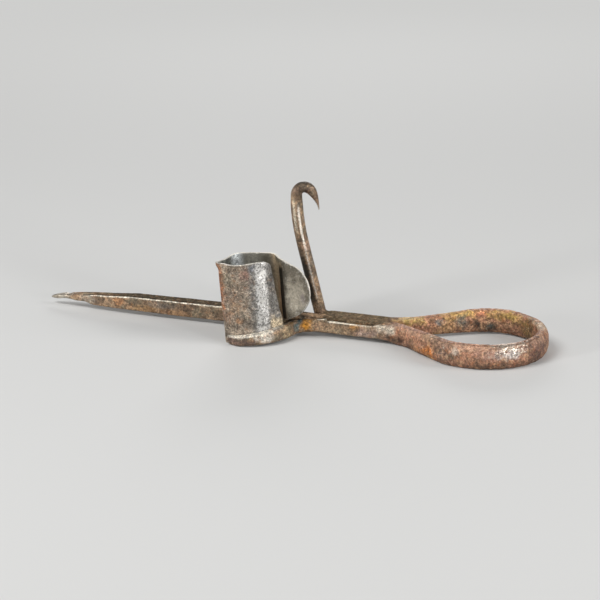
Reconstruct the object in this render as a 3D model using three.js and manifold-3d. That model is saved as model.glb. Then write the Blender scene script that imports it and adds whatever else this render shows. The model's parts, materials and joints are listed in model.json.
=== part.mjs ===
// Miner's candlestick, hand-forged from iron bar.
// A straight bar is drawn out to a spike at one end. At the other end it is spread into a strap on edge and
// bent into a teardrop handle, and the strap's returning end lies behind the bar as the foot of an upright
// hook. A tapering strap springs from the bar's front and holds the socket, a split band of sheet steel.
// The band's free end is cut as a round leaf for the thumb, which opens the band for the candle.
//
// Millimetres and degrees. X runs along the bar from the spike to the handle, Y from the socket's side
// to the hook's side, Z up. The model is built with x = 0 beside the socket, y = 0 at the middle of the bar
// and z = 0 at the floor, and is moved at the end so that its origin is under the middle of its box.

import * as THREE from 'three';
import { mergeVertices } from 'three/addons/utils/BufferGeometryUtils.js';
import Module from 'manifold-3d';

// Clearances
const seatGap = 0.3; // between pieces that are brazed or welded together
const swingGap = 0.5; // between the thumb leaf and what it passes over

// Bar, from the spike's point to the handle
const barWidth = 6.4;
const barHeight = 5.7; // of the shank, at the handle
const rootHeight = 6.2; // of the shank, beside the socket
const barLift = 1.5; // underside of the bar above the floor
const spikeHeight = 5.95; // of the spike, where its taper begins
const spikeTaper = 40; // length drawn out to the point
const tipX = -94;
const tipLift = 0.9; // rise of the underside at the point
const pointSize = 0.7; // what wear has left of the point
const handleStartX = 52;

// Handle strap
const strapHeight = 9.5;
const strapThickness = 4.3;
const bowRadius = 21; // centreline of the round end
const sideAngle = 33.5; // each side's angle to the bar
const crotchRadius = 20; // bend where a side leaves the bar
const neckLength = 3.7; // straight stretch before that bend
const strapSpread = 16; // length over which the bar becomes the strap

// Hook
const hookFootWidth = 5.6;
const hookFootHeight = 5.6;
const hookFootLength = 23.6;
const hookBendRadius = 4;
const hookLean = 13.9; // the stem's lean towards the spike
const hookStemLength = 28; // straight part
const hookStemCurve = 82; // radius of the part that straightens up
const hookBowRadius = 3.6;
const hookBowTurn = 142;
const hookTipRadius = 14.7;
const hookTipTurn = 32;
const hookRodStem = 4.9; // rod diameter of the stem
const hookRodTop = 4.35; // rod diameter at the top of the bow
const hookTaperStart = 2; // where the point's taper begins, past the top of the bow
const hookPoint = 0.6;

// Socket, in a frame that leans towards the spike
const socketLean = 4.6;
const sheetThickness = 0.95;
const socketWidth = 20.4; // between the middles of opposite walls
const socketDepth = 17.8;
const socketHeight = 31.9; // at the back corner
const backRise = 0.2; // rise of the lip along the back
const frontDrop = 0.2; // how far the lip drops along the front, towards the free edge
const socketLeftX = -4.5;
const sheetFoot = 0.25; // lower edge of the sheet
const frontCurve = 14.2; // radius of the round front
const frontCorner = 1.6; // radius of the tight corner at the spike's side
const backCorner = 3;
const slitAngle = 50; // where round the back corner the fixed part ends
const edgeStart = 14; // where the front's free edge begins at its foot, in degrees round the front
const edgeNotch = 17; // where that edge turns up
const edgeTop = 27; // where it reaches the lip
const cornerHeight = 10.5; // height of the brazed corner at the foot of the free edge

// Thumb leaf
const leafFoot = 8; // lower edge of the leaf behind the candle
const leafBack = 12.5; // straight stretch of the leaf behind the candle
const backBend = 55; // turn of the leaf towards the front at its free end
const backBendRadius = 3.5;
const leafNeck = 3.05; // straight stretch between that turn and the crease
const creaseRadius = 1.4;
const tabTilt = 4; // angle left after the crease
const tabRadius = 11.4;
const tabCentre = 0.1; // from the crease to the middle of the round
const tabHeight = 18.2; // height of that middle
const tabCorner = 5.8; // height of the lower corner at the crease
const tabShoulder = 31.4; // height of the upper corner at the crease
const dishRadius = 7.6;
const dishDepth = 1.1;
const dishOffset = 4.4; // from the crease to the middle of the thumb dish
const dishDrop = 1.6; // how far the dish lies below the middle of the round

// Strap that holds the socket
const ringThickness = 2.6;
const ringToeThickness = 0.9;
const ringToeLength = 6; // stretch that lies along the bar
const ringJoinAngle = 5; // where the strap leaves the socket's round, in degrees
const ringRootTop = 4.8;
const ringEndTop = 3.3;
const ringEndFoot = 0.9;
const ringEndThickness = 1.2;
const ringRootFoot = -0.5;
const ringFoot = -0.2;
const socketLift = 0.15; // height of the leaning frame's origin

const wasm = await Module();
wasm.setup();

const radians = THREE.MathUtils.degToRad;
const mix = THREE.MathUtils.lerp;
const ease = (value, from, to) => THREE.MathUtils.smoothstep(value, from, to);

// A path in a plane, made as a smith makes it: straight runs and bends, one after another.
// Each sample holds its place, its heading and its distance from the start.
class BentPath {
  constructor(x, y, heading) {
    this.samples = [{ x, y, heading: radians(heading), s: 0 }];
  }

  get end() {
    return this.samples[this.samples.length - 1];
  }

  get length() {
    return this.end.s;
  }

  run(length, steps = 1) {
    const from = this.end;
    for (let i = 1; i <= steps; i++) {
      const d = (length * i) / steps;
      const x = from.x + d * Math.cos(from.heading);
      const y = from.y + d * Math.sin(from.heading);
      this.samples.push({ x, y, heading: from.heading, s: from.s + d });
    }
    return this;
  }

  // Positive degrees bend to the left
  bend(radius, degrees, steps) {
    const from = this.end;
    const side = Math.sign(degrees);
    const centreX = from.x - side * radius * Math.sin(from.heading);
    const centreY = from.y + side * radius * Math.cos(from.heading);
    for (let i = 1; i <= steps; i++) {
      const heading = from.heading + radians((degrees * i) / steps);
      const x = centreX + side * radius * Math.sin(heading);
      const y = centreY - side * radius * Math.cos(heading);
      const s = from.s + radius * Math.abs(heading - from.heading);
      this.samples.push({ x, y, heading, s });
    }
    return this;
  }
}

// Section of hammered bar: between round and square, with flats where the hammer and the anvil meet it.
// inner and outer are the squareness of its two sides.
function hammeredSection(width, height, inner, outer, flat, count = 16) {
  const points = [];
  for (let i = 0; i < count; i++) {
    const angle = (2 * Math.PI * i) / count;
    const c = Math.cos(angle);
    const s = Math.sin(angle);
    const power = 2 / (c < 0 ? inner : outer);
    const across = Math.sign(c) * Math.min(1, flat * Math.abs(c) ** power);
    const up = Math.sign(s) * Math.min(1, flat * Math.abs(s) ** power);
    points.push([(across * width) / 2, (up * height) / 2]);
  }
  return points;
}

// Closed body through a row of rings with the same number of points
function loft(rings) {
  const count = rings[0].length;
  const points = rings.flat();
  const faces = [];
  for (let i = 0; i + 1 < rings.length; i++) {
    for (let j = 0; j < count; j++) {
      const a = i * count + j;
      const b = i * count + ((j + 1) % count);
      faces.push(a, b, b + count, a, b + count, a + count);
    }
  }
  for (const [ring, offset, flip] of [[rings[0], 0, true], [rings.at(-1), points.length - count, false]]) {
    const middle = ring.reduce((sum, p) => sum.add(p), new THREE.Vector3()).divideScalar(count);
    const centre = points.push(middle) - 1;
    for (let j = 0; j < count; j++) {
      const a = offset + j;
      const b = offset + ((j + 1) % count);
      faces.push(...(flip ? [b, a, centre] : [a, b, centre]));
    }
  }
  return solid(points, faces);
}

// Geometry of a closed body, its faces turned out
function solid(points, faces) {
  const geometry = new THREE.BufferGeometry().setFromPoints(points);
  let volume = 0;
  for (let i = 0; i < faces.length; i += 3) {
    const [a, b, c] = [points[faces[i]], points[faces[i + 1]], points[faces[i + 2]]];
    volume += a.dot(b.clone().cross(c));
  }
  geometry.setIndex(volume > 0 ? faces : faces.reverse());
  return geometry;
}

function toManifold(geometry) {
  const bare = geometry.clone();
  bare.deleteAttribute('normal');
  bare.deleteAttribute('uv');
  const merged = mergeVertices(bare, 1e-5);
  const mesh = new wasm.Mesh({
    numProp: 3,
    vertProperties: Float32Array.from(merged.attributes.position.array),
    triVerts: Uint32Array.from(merged.index.array),
  });
  return new wasm.Manifold(mesh);
}

function fromManifold(manifold) {
  const mesh = manifold.getMesh();
  const geometry = new THREE.BufferGeometry();
  geometry.setAttribute('position', new THREE.BufferAttribute(mesh.vertProperties, 3));
  geometry.setIndex(new THREE.BufferAttribute(mesh.triVerts, 1));
  return geometry;
}

// Piecewise straight line through keys of [place, value]
function keyed(place, keys) {
  const next = keys.findIndex((key) => key[0] >= place);
  if (next === 0) return keys[0][1];
  if (next < 0) return keys.at(-1)[1];
  const [from, to] = [keys[next - 1], keys[next]];
  return mix(from[1], to[1], (place - from[0]) / (to[0] - from[0]));
}

const barMiddleZ = barLift + barHeight / 2;
const barFrontY = -barWidth / 2;
const hookY = barWidth / 2 + seatGap + hookFootWidth / 2;

// Spike and shank: one bar, its underside nearly straight, drawn out on the other three sides
function spikeShank() {
  const rings = [];
  const addRing = (x, width, height, z) => {
    const section = hammeredSection(width, height, 6, 6, 1.06);
    rings.push(section.map(([across, up]) => new THREE.Vector3(x, -across, z + up)));
  };
  const steps = 18;
  for (let i = 0; i <= steps; i++) {
    const share = (i / steps) ** 1.6;
    const height = Math.max(pointSize, spikeHeight * share ** 0.48);
    const width = Math.max(pointSize, barWidth * share ** 0.42);
    const lifted = tipLift * (1 - ease(share, 0, 0.8));
    addRing(tipX + spikeTaper * share, width, height, barLift + lifted + height / 2);
  }
  addRing(socketLeftX, barWidth, rootHeight, barLift + rootHeight / 2);
  addRing(handleStartX - seatGap, barWidth, barHeight, barMiddleZ);
  return loft(rings);
}

// Teardrop handle: the bar spread into a strap on edge, flat inside and rounded outside
function handleLoop() {
  const turn = radians(sideAngle);
  const startGap = hookY;
  const side = (bowRadius * Math.cos(turn) - crotchRadius * (1 - Math.cos(turn)) - startGap / 2) / Math.sin(turn);
  const path = new BentPath(handleStartX, 0, 0)
    .run(neckLength, 3)
    .bend(crotchRadius, -sideAngle, 7)
    .run(side, 4)
    .bend(bowRadius, 180 + 2 * sideAngle, 30)
    .run(side, 4)
    .bend(crotchRadius, -sideAngle, 7)
    .run(neckLength, 3);
  const strapMiddleZ = strapHeight / 2;
  const rings = path.samples.map(({ x, y, heading, s }) => {
    const fromEnd = Math.min(s, path.length - s);
    const spread = ease(fromEnd, 0, strapSpread);
    const endWidth = s < path.length / 2 ? barWidth : hookFootWidth;
    const endHeight = s < path.length / 2 ? barHeight : hookFootHeight;
    const width = mix(endWidth, strapThickness, spread);
    const height = mix(endHeight, strapHeight, spread);
    const middle = mix(barMiddleZ, strapMiddleZ, spread);
    const section = hammeredSection(width, height, 6, mix(6, 2.3, spread), mix(1.06, 1.08, spread));
    const outX = Math.sin(heading);
    const outY = -Math.cos(heading);
    return section.map(([out, up]) => new THREE.Vector3(x + out * outX, y + out * outY, middle + up));
  });
  return loft(rings);
}

// Hook: a foot along the back of the shank, turned up, bowed over towards the handle and pointed
function hook() {
  const path = new BentPath(handleStartX - seatGap, barMiddleZ, 180)
    .run(hookFootLength, 4)
    .bend(hookBendRadius, hookLean - 90, 9)
    .run(hookStemLength, 6)
    .bend(hookStemCurve, -hookLean, 5)
    .bend(hookBowRadius, -hookBowTurn, 14)
    .bend(hookTipRadius, -hookTipTurn, 8);
  const bendEnd = hookFootLength + hookBendRadius * radians(90 - hookLean);
  const bowTop = path.length - hookTipRadius * radians(hookTipTurn) - (hookBowRadius * radians(hookBowTurn)) / 2;
  const rings = path.samples.map(({ x, y, heading, s }) => {
    const round = ease(s, hookFootLength - 2, bendEnd);
    const rod = mix(hookRodStem, hookRodTop, ease(s, bowTop - 10, bowTop));
    const point = ease(s, bowTop + hookTaperStart, path.length);
    const width = mix(mix(hookFootWidth, rod, round), hookPoint, point);
    const height = mix(mix(hookFootHeight, rod, round), hookPoint, point);
    const section = hammeredSection(height, width, mix(6, 2, round), mix(6, 2, round), mix(1.06, 1, round));
    const outX = Math.sin(heading);
    const outZ = -Math.cos(heading);
    return section.map(([out, side]) => new THREE.Vector3(x + out * outX, hookY + side, y + out * outZ));
  });
  return loft(rings);
}

// Leaning frame of the socket. Its plan is drawn with the front at +Y, so y changes sign in place.
const socketFrame = new THREE.Matrix4()
  .makeRotationY(-radians(socketLean))
  .setPosition(0, 0, socketLift);

const backWall = barWidth / 2 + seatGap + sheetThickness / 2 + 0.1;
const frontWall = backWall + socketDepth;
const roundCentreX = socketLeftX + socketWidth - frontCurve;
const roundCentreY = frontWall - frontCurve;

// Plan of the band from a place on its round front, past the front and the spike's side, to its back,
// moved out from the middle of the sheet by an offset
function bandPath(startAngle, offset) {
  const angle = radians(startAngle);
  const radius = frontCurve + offset;
  const x = roundCentreX + radius * Math.cos(angle);
  const y = roundCentreY + radius * Math.sin(angle);
  return new BentPath(x, y, startAngle + 90)
    .bend(radius, 90 - startAngle, 16)
    .run(socketWidth - frontCurve - frontCorner, 2)
    .bend(frontCorner + offset, 90, 6)
    .run(socketDepth - frontCorner - backCorner, 3);
}

// Strip of sheet that stands on a plan path, with its lower and upper edges given along the path.
// swell moves the sheet out of its plan, for a dished place.
function standingSheet(samples, lower, upper, rows, swell = () => 0) {
  const half = sheetThickness / 2;
  const rings = samples.map(({ x, y, heading, s }) => {
    const outX = Math.sin(heading);
    const outY = -Math.cos(heading);
    const ring = [];
    for (const face of [1, -1]) {
      for (let row = 0; row <= rows; row++) {
        const share = face > 0 ? row / rows : 1 - row / rows;
        const z = mix(lower(s), upper(s), share);
        const out = face * half + swell(s, z);
        ring.push(new THREE.Vector3(x + out * outX, -(y + out * outY), z));
      }
    }
    return ring;
  });
  return loft(rings);
}

// Socket: the fixed part of the split band. Its full height ends at the back corner, and a low band goes on
// behind the candle. The foot of its free edge is a brazed corner.
function candleSocket() {
  const path = bandPath(edgeStart, 0).bend(backCorner, slitAngle, 4);
  const slit = path.length;
  path.bend(backCorner, 1, 1).bend(backCorner, 89 - slitAngle, 3).run(leafBack, 4);
  const along = (degrees) => frontCurve * radians(degrees - edgeStart);
  const frontEnd = along(90) + socketWidth - frontCurve - frontCorner;
  const lowerBandTop = leafFoot - seatGap;
  const keys = [
    [0, ringRootTop + swingGap],
    [along(edgeNotch), cornerHeight],
    [along(edgeTop), socketHeight - frontDrop],
    [frontEnd, socketHeight],
    [slit, socketHeight],
    [slit + 0.001, lowerBandTop],
  ];
  const samples = path.samples.slice();
  for (const degrees of [edgeNotch, edgeTop]) {
    const angle = radians(degrees);
    const x = roundCentreX + frontCurve * Math.cos(angle);
    const y = roundCentreY + frontCurve * Math.sin(angle);
    samples.push({ x, y, heading: radians(degrees + 90), s: along(degrees) });
  }
  samples.sort((a, b) => a.s - b.s);
  return filedLevel(standingSheet(samples, () => sheetFoot, (s) => keyed(s, keys), 3));
}

// Thumb leaf: the moving part of the band, from the back corner behind the candle to the round tab
function thumbLever() {
  const startTurn = 90 - slitAngle - THREE.MathUtils.radToDeg(seatGap / backCorner);
  const startX = socketLeftX + backCorner * (1 - Math.sin(radians(startTurn)));
  const startY = backWall + backCorner * (1 - Math.cos(radians(startTurn)));
  const path = new BentPath(startX, startY, -startTurn)
    .bend(backCorner, startTurn, 3)
    .run(leafBack, 4);
  const backEnd = path.length;
  path.bend(backBendRadius, backBend, 6);
  const neckStart = path.length;
  path.run(leafNeck, 2)
    .bend(creaseRadius, tabTilt - backBend, 4);
  const crease = path.length;
  const tabSteps = 22;
  let reached = 0;
  for (let i = 1; i <= tabSteps; i++) {
    const share = Math.sin((Math.PI / 2) * (i / tabSteps));
    const place = (tabCentre + tabRadius * 0.999) * share;
    path.run(place - reached);
    reached = place;
  }
  const middle = crease + tabCentre;
  const backTop = socketHeight + backRise;
  const shoulder = tangentFrom(crease, tabShoulder, middle, tabHeight, tabRadius, 1);
  const heel = tangentFrom(crease, tabCorner, middle, tabHeight, tabRadius, -1);
  const round = (s) => Math.sqrt(Math.max(0, tabRadius ** 2 - (s - middle) ** 2));
  const upper = (s) => {
    if (s > shoulder.s) return tabHeight + round(s);
    return keyed(s, [[0, socketHeight], [backEnd, backTop], [neckStart, tabShoulder], [crease, tabShoulder], [shoulder.s, shoulder.z]]);
  };
  const lower = (s) => {
    if (s > heel.s) return tabHeight - round(s);
    return keyed(s, [[backEnd, leafFoot], [crease, tabCorner], [heel.s, heel.z]]);
  };
  const dish = (s, z) => {
    const away = Math.hypot(s - crease - dishOffset, z - tabHeight + dishDrop) / dishRadius;
    return dishDepth * (1 - ease(away, 0.35, 1)) * ease(s, crease, crease + 2);
  };
  return standingSheet(path.samples, lower, upper, 12, dish);
}

// Where the line from a point touches a circle, above it or below it
function tangentFrom(s, z, centreS, centreZ, radius, side) {
  const towards = Math.atan2(z - centreZ, s - centreS);
  const opening = Math.acos(radius / Math.hypot(z - centreZ, s - centreS));
  const angle = towards - side * opening;
  return { s: centreS + radius * Math.cos(angle), z: centreZ + radius * Math.sin(angle) };
}

// Body with what would reach below the floor filed level, moved out of the leaning frame and back
function filedLevel(geometry) {
  const size = 100;
  const floor = new THREE.BoxGeometry(size, size, size).translate(0, 0, -size / 2);
  const upright = socketFrame.clone().invert();
  return fromManifold(toManifold(geometry).subtract(toManifold(floor.applyMatrix4(upright))));
}

// Strap that holds the socket: a toe along the bar, a sweep out to the socket's round, and a taper round its
// front that ends at the corner on the spike's side
function socketRing() {
  const offset = sheetThickness / 2 + seatGap + ringThickness / 2;
  const joinX = roundCentreX + (frontCurve + offset) * Math.cos(radians(ringJoinAngle));
  const joinY = roundCentreY + (frontCurve + offset) * Math.sin(radians(ringJoinAngle));
  const toeY = barWidth / 2 + seatGap + ringThickness / 2;
  const turn = 90 - ringJoinAngle;
  const sweep = (joinY - toeY) / (1 - Math.cos(radians(turn)));
  const path = new BentPath(joinX + sweep * Math.sin(radians(turn)) + ringToeLength, toeY, 180)
    .run(ringToeLength, 3)
    .bend(sweep, -turn, 8);
  const rootEnd = path.length;
  path.bend(frontCurve + offset, turn, 20);
  const frontStart = path.length;
  path.run(socketWidth - frontCurve - frontCorner, 3);
  const rings = path.samples.map(({ x, y, heading, s }) => {
    const toEnd = path.length - s;
    const drawn = mix(ringEndThickness, ringThickness, ease(toEnd, 0, ringToeLength));
    const thickness = mix(ringToeThickness, drawn, ease(s, 0, ringToeLength));
    const upper = keyed(s, [[rootEnd + 8, ringRootTop], [frontStart, ringEndTop]]);
    const along = keyed(s, [[rootEnd, ringRootFoot], [rootEnd + 8, ringFoot]]);
    const lower = mix(ringEndFoot, along, Math.sqrt(Math.min(1, toEnd / 2)));
    const section = hammeredSection(thickness, upper - lower, 6, 3.4, 1.06);
    const shift = (thickness - ringThickness) / 2;
    const outX = Math.sin(heading);
    const outY = -Math.cos(heading);
    return section.map(([out, up]) => {
      const away = out + shift;
      return new THREE.Vector3(x + away * outX, -(y + away * outY), (upper + lower) / 2 + up);
    });
  });
  return filedLevel(loft(rings));
}

function steel(color, roughness, metalness) {
  return new THREE.MeshStandardMaterial({ color, roughness, metalness });
}

const finishes = {
  bar: steel(0x6b5c4a, 0.55, 0.7),
  handle: steel(0x74584a, 0.7, 0.5),
  hook: steel(0x6e5f4e, 0.5, 0.7),
  ring: steel(0x7a6e60, 0.55, 0.7),
  socket: steel(0x7d7c78, 0.45, 0.8),
  lever: steel(0x8b8982, 0.4, 0.8),
};

function piece(name, geometry, material) {
  geometry.computeVertexNormals();
  const mesh = new THREE.Mesh(geometry, material);
  mesh.name = name;
  return mesh;
}

const leaning = new THREE.Group();
leaning.applyMatrix4(socketFrame);
leaning.add(
  piece('socket_ring', socketRing(), finishes.ring),
  piece('candle_socket', candleSocket(), finishes.socket),
  piece('thumb_lever', thumbLever(), finishes.lever),
);

const candlestick = new THREE.Group();
candlestick.add(
  piece('spike_shank', spikeShank(), finishes.bar),
  piece('handle_loop', handleLoop(), finishes.handle),
  piece('hook', hook(), finishes.hook),
  leaning,
);

const box = new THREE.Box3().setFromObject(candlestick, true);
const middle = box.getCenter(new THREE.Vector3());
candlestick.position.set(-middle.x, -middle.y, -box.min.z);

export default candlestick;
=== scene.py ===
"""Looks of the miner's candlestick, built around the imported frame.

The iron is one forging with a brazed strap. Its four pieces are swept, fused into one skin, hammered, pitted
and then cut apart at the frame's seams. The socket and its thumb leaf are bent from dense sheet.
Places are in mm in the bar's own frame: x = 0 beside the socket, y = 0 at the middle of the bar and z = 0 at
the floor. Each piece is moved into the row's frame when it is made.
"""

import json
import math

import bmesh
import bpy
import numpy as np
from mathutils import Matrix, Vector, noise

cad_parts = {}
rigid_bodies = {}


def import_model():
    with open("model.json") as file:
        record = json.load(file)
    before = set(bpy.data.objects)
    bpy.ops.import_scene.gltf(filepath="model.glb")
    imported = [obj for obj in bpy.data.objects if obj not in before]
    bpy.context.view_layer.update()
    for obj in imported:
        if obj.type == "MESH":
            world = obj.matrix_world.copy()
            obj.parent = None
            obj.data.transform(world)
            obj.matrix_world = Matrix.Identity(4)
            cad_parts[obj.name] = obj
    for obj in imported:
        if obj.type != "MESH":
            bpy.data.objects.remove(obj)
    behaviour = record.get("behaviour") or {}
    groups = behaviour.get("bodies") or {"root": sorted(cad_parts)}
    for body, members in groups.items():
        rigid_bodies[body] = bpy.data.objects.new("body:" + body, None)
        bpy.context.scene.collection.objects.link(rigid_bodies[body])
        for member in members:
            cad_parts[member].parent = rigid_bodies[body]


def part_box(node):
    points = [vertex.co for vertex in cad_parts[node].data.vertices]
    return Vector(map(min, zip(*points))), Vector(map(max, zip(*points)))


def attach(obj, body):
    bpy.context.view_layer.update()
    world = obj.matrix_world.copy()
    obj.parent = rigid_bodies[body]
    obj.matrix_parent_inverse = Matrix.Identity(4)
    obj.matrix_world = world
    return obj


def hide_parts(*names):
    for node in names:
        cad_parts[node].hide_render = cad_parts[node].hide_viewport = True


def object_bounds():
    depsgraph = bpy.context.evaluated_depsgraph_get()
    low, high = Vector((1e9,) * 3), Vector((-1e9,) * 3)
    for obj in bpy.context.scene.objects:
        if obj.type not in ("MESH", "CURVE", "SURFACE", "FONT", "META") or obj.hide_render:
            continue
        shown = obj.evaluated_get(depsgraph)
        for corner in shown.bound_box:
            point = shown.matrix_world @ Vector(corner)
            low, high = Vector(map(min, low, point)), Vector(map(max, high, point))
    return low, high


for extra in list(bpy.data.objects):
    bpy.data.objects.remove(extra)
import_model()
cad_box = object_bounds()
MM = 0.001

# Sizes of the frame, in mm and degrees: the bar and its handle
SEAT_GAP = 0.3
BAR_WIDTH = 6.4
BAR_HEIGHT = 5.7
BAR_LIFT = 1.5
BAR_MIDDLE = BAR_LIFT + BAR_HEIGHT / 2
ROOT_HEIGHT = 6.2
SPIKE_HEIGHT = 5.95
SPIKE_TAPER = 40.0
TIP_X = -94.0
TIP_LIFT = 0.9
HANDLE_X = 52.0
STRAP_HEIGHT = 9.5
STRAP_THICKNESS = 4.3
BOW_RADIUS = 21.0
SIDE_ANGLE = 33.5
CROTCH_RADIUS = 20.0
NECK = 3.7
SPREAD = 16.0

# The hook
FOOT_SIZE = 5.6
FOOT_LENGTH = 23.6
HOOK_BEND = 4.0
HOOK_LEAN = 13.9
HOOK_STEM = 28.0
HOOK_CURVE = 82.0
HOOK_BOW_RADIUS = 3.6
HOOK_BOW_TURN = 142.0
HOOK_TIP_RADIUS = 14.7
HOOK_TIP_TURN = 32.0
ROD_STEM = 4.9
ROD_TOP = 4.35
HOOK_Y = BAR_WIDTH / 2 + SEAT_GAP + FOOT_SIZE / 2

# The socket and the strap that holds it
LEAN = math.radians(4.6)
LIFT = 0.15
SHEET = 0.95
SHEET_FOOT = 0.25
SOCKET_LEFT = -4.5
SOCKET_WIDTH = 20.4
SOCKET_DEPTH = 17.8
SOCKET_HEIGHT = 31.9
BACK_RISE = 0.2
FRONT_CURVE = 14.2
FRONT_CORNER = 1.6
BACK_CORNER = 3.0
SLIT_ANGLE = 50.0
EDGE_START = 14.0
EDGE_NOTCH = 17.0
EDGE_TOP = 27.0
CORNER_HEIGHT = 10.5
BACK_WALL = BAR_WIDTH / 2 + SEAT_GAP + SHEET / 2 + 0.1
ROUND_X = SOCKET_LEFT + SOCKET_WIDTH - FRONT_CURVE
ROUND_Y = BACK_WALL + SOCKET_DEPTH - FRONT_CURVE
RING_THICKNESS = 2.6
RING_END_THICKNESS = 1.2
RING_TOP = 4.8
RING_END_TOP = 3.3
RING_JOIN = 5

# The thumb leaf
SWING_GAP = 0.5
LEAF_FOOT = 8.0
LEAF_BACK = 12.5
BACK_BEND = 55.0
BEND_RADIUS = 3.5
NECK_RUN = 3.05
CREASE_RADIUS = 1.4
TAB_TILT = 4.0
TAB_RADIUS = 11.4
TAB_CENTRE = 0.1
TAB_HEIGHT = 18.2
TAB_CORNER = 5.8
TAB_SHOULDER = 31.4
TAB_REACH = TAB_CENTRE + TAB_RADIUS * 0.999
DISH_RADIUS = 7.6
DISH_DEPTH = 1.1
DISH_OFFSET = 4.4
DISH_DROP = 1.6

# Wear and handwork, in mm, but shares and degrees where the bar is uneven
UNEVEN_WIDTH = 0.022
UNEVEN_HEIGHT = 0.014
UNEVEN_TWIST = 2.2
POINT_SIZE = 0.5
TIP_EATEN = 0.75
TIP_DIP = 0.45
FRONT_BOW = 0.85
FRONT_BULGE = 0.75
BACK_CROWN = 0.45
SHANK_BEVEL = 0.75
WELD_OVERLAP = 0.2
STRAP_TOE = 9.0
TOE_INSET = 0.75
SEAM_GROWTH = 0.28
BEAD = 0.35
LIP_FLARE = 0.9
BRAZE_LUMP = 0.55

# Where pieces run together, and how finely they are made
HOOK_ROOT_X = 23.5
HOOK_ROOT_Z = 8
FOOT_SEAM_Y = 3.3
STRAP_SEAM_Y = -3.4
STEP = 0.5
SECTION_POINTS = 44
IRON_VOXEL = 0.3
SHEET_VOXEL = 0.25

low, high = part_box("spike_shank")
SHIFT = np.array([low.x / MM - TIP_X, (low.y + high.y) / 2 / MM, 0.0])  # from the bar's frame to the row's
BOX_LOW = np.array(cad_box[0]) / MM - SHIFT
BOX_HIGH = np.array(cad_box[1]) / MM - SHIFT


# Numbers and noise
def srgb(*values):
    """Linear colour of values from 0 to 255."""
    shares = [v / 255 for v in values]
    return np.array([(s / 12.92) if s < 0.04045 else ((s + 0.055) / 1.055) ** 2.4 for s in shares])


def ease(value, start, end):
    t = np.clip((value - start) / (end - start), 0, 1)
    return t * t * (3 - 2 * t)


def mix(a, b, t):
    return a + (b - a) * t


def bell(value, middle, reach):
    return math.exp(-((value - middle) / reach) ** 2)


def linear(colour):
    return srgb(*colour) if isinstance(colour, tuple) else colour


def tinted(colour, tint, share):
    """Colours mixed towards a tint, each place by its own share. A tuple holds values from 0 to 255."""
    return mix(linear(colour), linear(tint), share[:, None])


def noises(points, size, seed, octaves):
    """Fractal noise of each point, about -1 to 1, with features of a size in mm."""
    offset = Vector((seed * 7.1, seed * 3.3, seed * 5.7))
    roughness, lacunarity = 0.9, 2.1
    places = [Vector(p) / size + offset for p in points]
    return np.array([noise.fractal(p, roughness, lacunarity, octaves) for p in places])


def wave(s, size, seed):
    """Smooth wandering along a line, about -1 to 1."""
    return noise.noise(Vector((s / size, seed * 4.7, seed * 1.3)))


# Paths and meshes
def bent(x, y, heading, moves, step):
    """Runs (length,) and bends (radius, degrees) in a plane. Rows of x, y, heading, distance."""
    rows = [(x, y, math.radians(heading), 0.0)]
    for move in moves:
        x0, y0, h0, s0 = rows[-1]
        if len(move) == 1:
            n = max(1, round(move[0] / step))
            for i in range(1, n + 1):
                d = move[0] * i / n
                rows.append((x0 + d * math.cos(h0), y0 + d * math.sin(h0), h0, s0 + d))
        else:
            radius, turn = move[0], math.radians(move[1])
            side = math.copysign(1, turn)
            n = max(2, round(radius * abs(turn) / step))
            cx, cy = x0 - side * radius * math.sin(h0), y0 + side * radius * math.cos(h0)
            for i in range(1, n + 1):
                h = h0 + turn * i / n
                rows.append((cx + side * radius * math.sin(h), cy - side * radius * math.cos(h), h,
                             s0 + radius * abs(turn) * i / n))
    return np.array(rows)


def hammered(width, height, inner, outer, flat):
    """Section of hammered bar. inner and outer are the squareness of its two sides."""
    a = np.arange(SECTION_POINTS) * 2 * math.pi / SECTION_POINTS
    c, s = np.cos(a), np.sin(a)
    power = np.where(c < 0, 2 / inner, 2 / outer)
    across = np.sign(c) * np.minimum(1, flat * np.abs(c) ** power)
    up = np.sign(s) * np.minimum(1, flat * np.abs(s) ** power)
    return across * width / 2, up * height / 2


def skin(rings):
    """Vertices and faces of a closed body through rings with the same number of points."""
    count = len(rings[0])
    points = [p for ring in rings for p in ring]
    faces = []
    for i in range(len(rings) - 1):
        for j in range(count):
            a, b = i * count + j, i * count + (j + 1) % count
            faces.append((a, b, b + count, a + count))
    for base, ring, flip in ((0, rings[0], True), (len(points) - count, rings[-1], False)):
        centre = len(points)
        points.append(np.mean(ring, axis=0))
        for j in range(count):
            a, b = base + j, base + (j + 1) % count
            faces.append((centre, b, a) if flip else (centre, a, b))
    return np.array(points, float), faces


def placed(name, data):
    obj = bpy.data.objects.new(name, data)
    bpy.context.scene.collection.objects.link(obj)
    return obj


def mesh_object(name, points, faces):
    mesh = bpy.data.meshes.new(name)
    mesh.from_pydata([tuple(p) for p in points], [], faces)
    mesh.validate()
    bm = bmesh.new()
    bm.from_mesh(mesh)
    bmesh.ops.recalc_face_normals(bm, faces=bm.faces)
    bm.to_mesh(mesh)
    bm.free()
    return placed(name, mesh)


def read(items, field, width=3, kind=float):
    """A field of a mesh's items, one row for each."""
    values = np.empty(len(items) * width, kind)
    items.foreach_get(field, values)
    return values.reshape(-1, width)


def fresh_normals(mesh, points):
    """Moves the vertices and gives their new normals."""
    mesh.vertices.foreach_set("co", (points * MM).ravel())
    mesh.update()
    return read(mesh.vertex_normals, "vector")


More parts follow.
